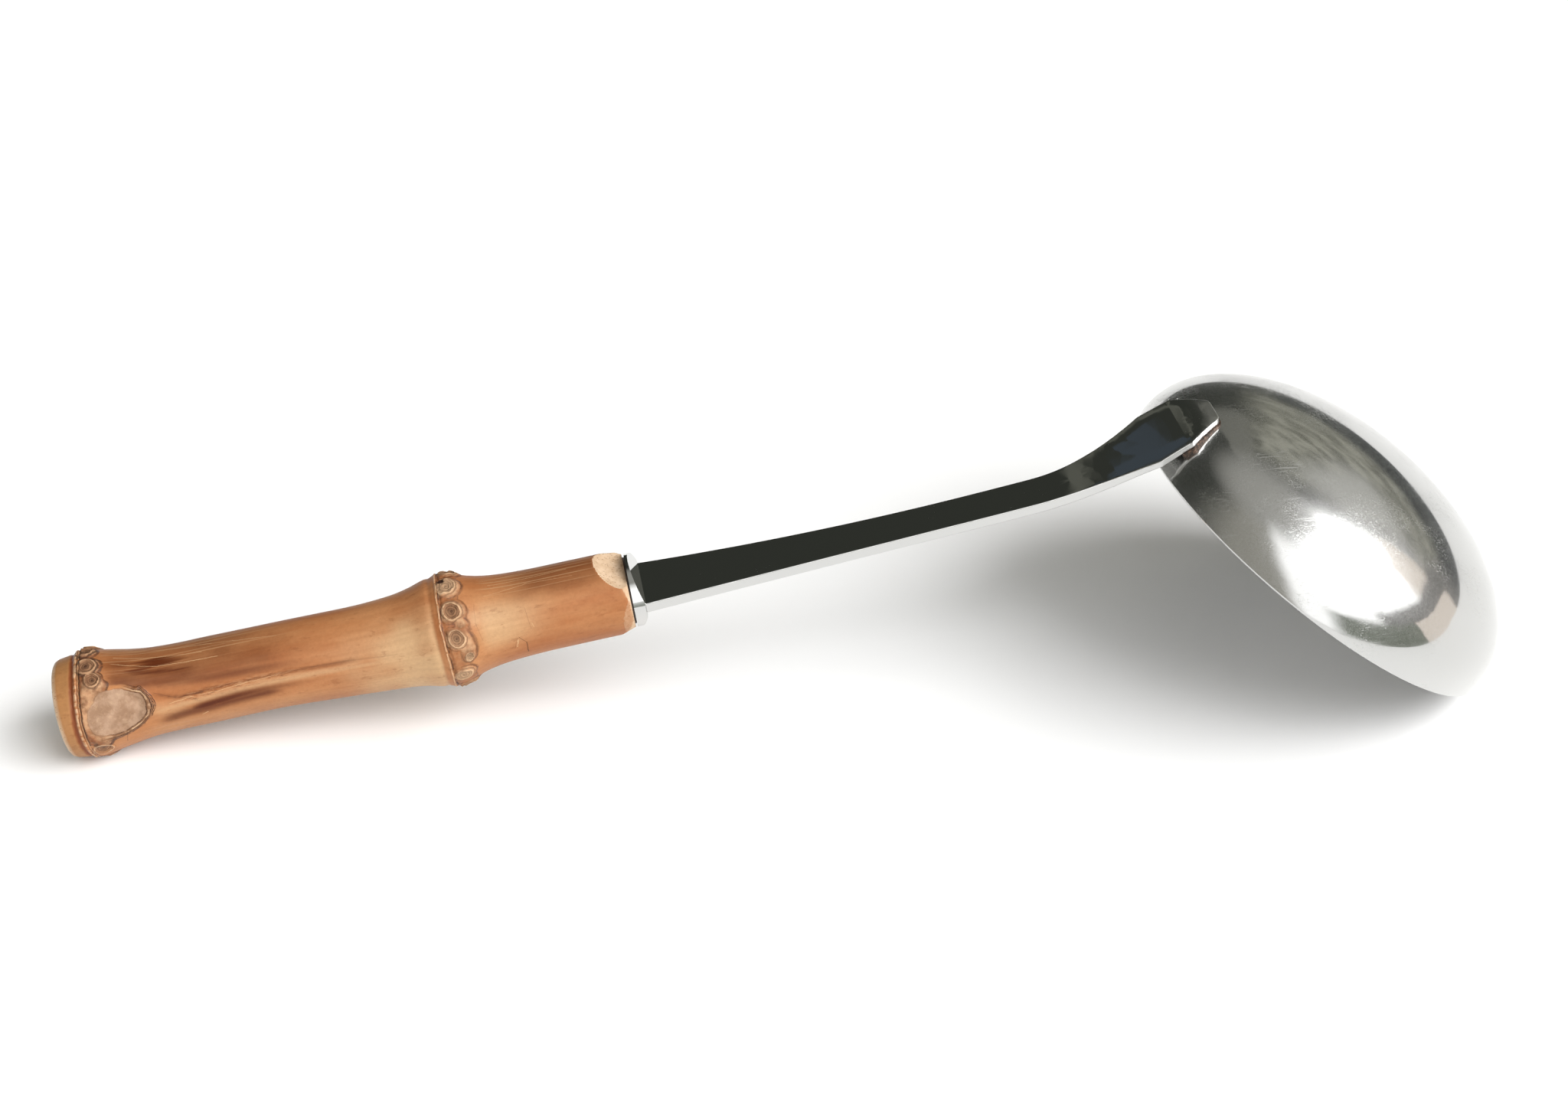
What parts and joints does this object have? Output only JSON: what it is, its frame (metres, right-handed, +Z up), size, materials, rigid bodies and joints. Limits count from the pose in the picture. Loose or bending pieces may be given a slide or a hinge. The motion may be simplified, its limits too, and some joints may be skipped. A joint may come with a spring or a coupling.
{
  "type": "serving ladle",
  "caption": "Serving ladle with a round polished steel bowl on a flat raised shank, an oval bolster and a bamboo root handle. It scoops, carries and pours soup, sauce or water.",
  "frame": {"origin": "centre of the part's box, on the table that the ladle lies on, face down", "axes": "+X from the butt of the handle towards the bowl, +Z up; Y = 0 is the plane of symmetry"},
  "size_m": [0.3008, 0.0906, 0.0617],
  "materials": {
    "polished_steel": "mirror-polished stainless steel with fine hairline scratches from use",
    "solder": "dull bright solder",
    "braze": "dull brown brazing filler",
    "bamboo": "lacquered bamboo root, scorched in patches, with pale sanded ends",
    "cement": "dark brown resin"
  },
  "bodies": {
    "root": {"bowl": "polished_steel", "shank": "polished_steel", "bolster": "polished_steel", "bolster_solder": "solder", "braze_seam": "braze", "bamboo_handle": "bamboo", "tang_cement": "cement"}
  },
  "joints": []
}
